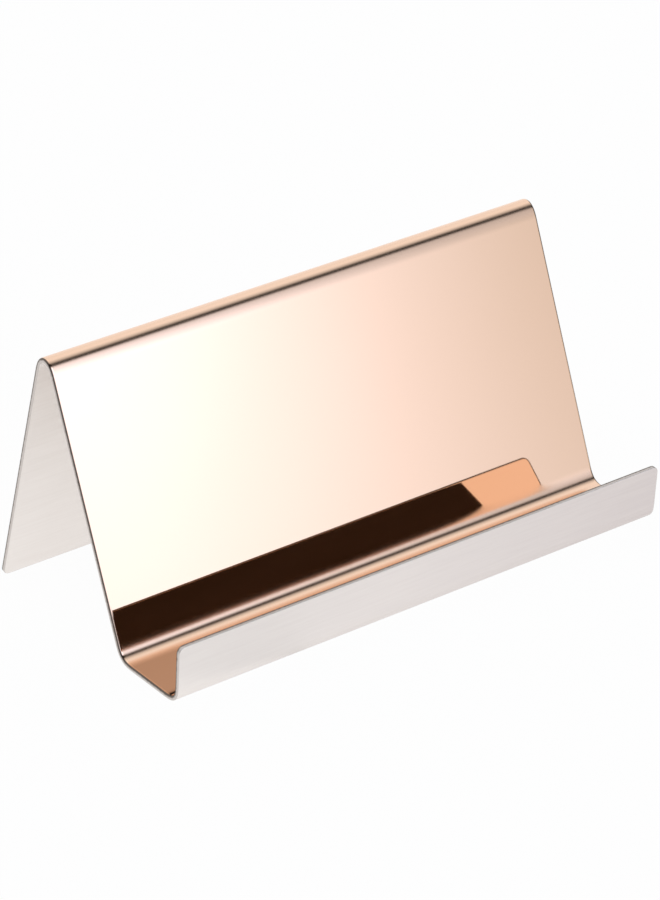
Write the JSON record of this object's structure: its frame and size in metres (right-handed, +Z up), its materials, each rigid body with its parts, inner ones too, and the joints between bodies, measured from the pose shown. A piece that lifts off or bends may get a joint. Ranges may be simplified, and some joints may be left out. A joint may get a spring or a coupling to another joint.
{
  "type": "business card holder",
  "caption": "Free-standing desk holder for business cards, folded from mirror-finished sheet steel with a sloping panel, a shallow tray, a front lip and a rear support leg.",
  "frame": {"origin": "on the floor, under the middle of the stand's outer box", "axes": "+X along the cards' long edge, -Y to the front where the lip is, +Z up"},
  "size_m": [0.095, 0.0504, 0.0452],
  "materials": {
    "rose_gold_steel": "mirror-polished stainless steel sheet with a rose gold coating on one face, plain satin steel on the reverse and dark heat-tinted cut edges"
  },
  "bodies": {
    "root": {"folded_sheet": "rose_gold_steel"}
  },
  "joints": []
}
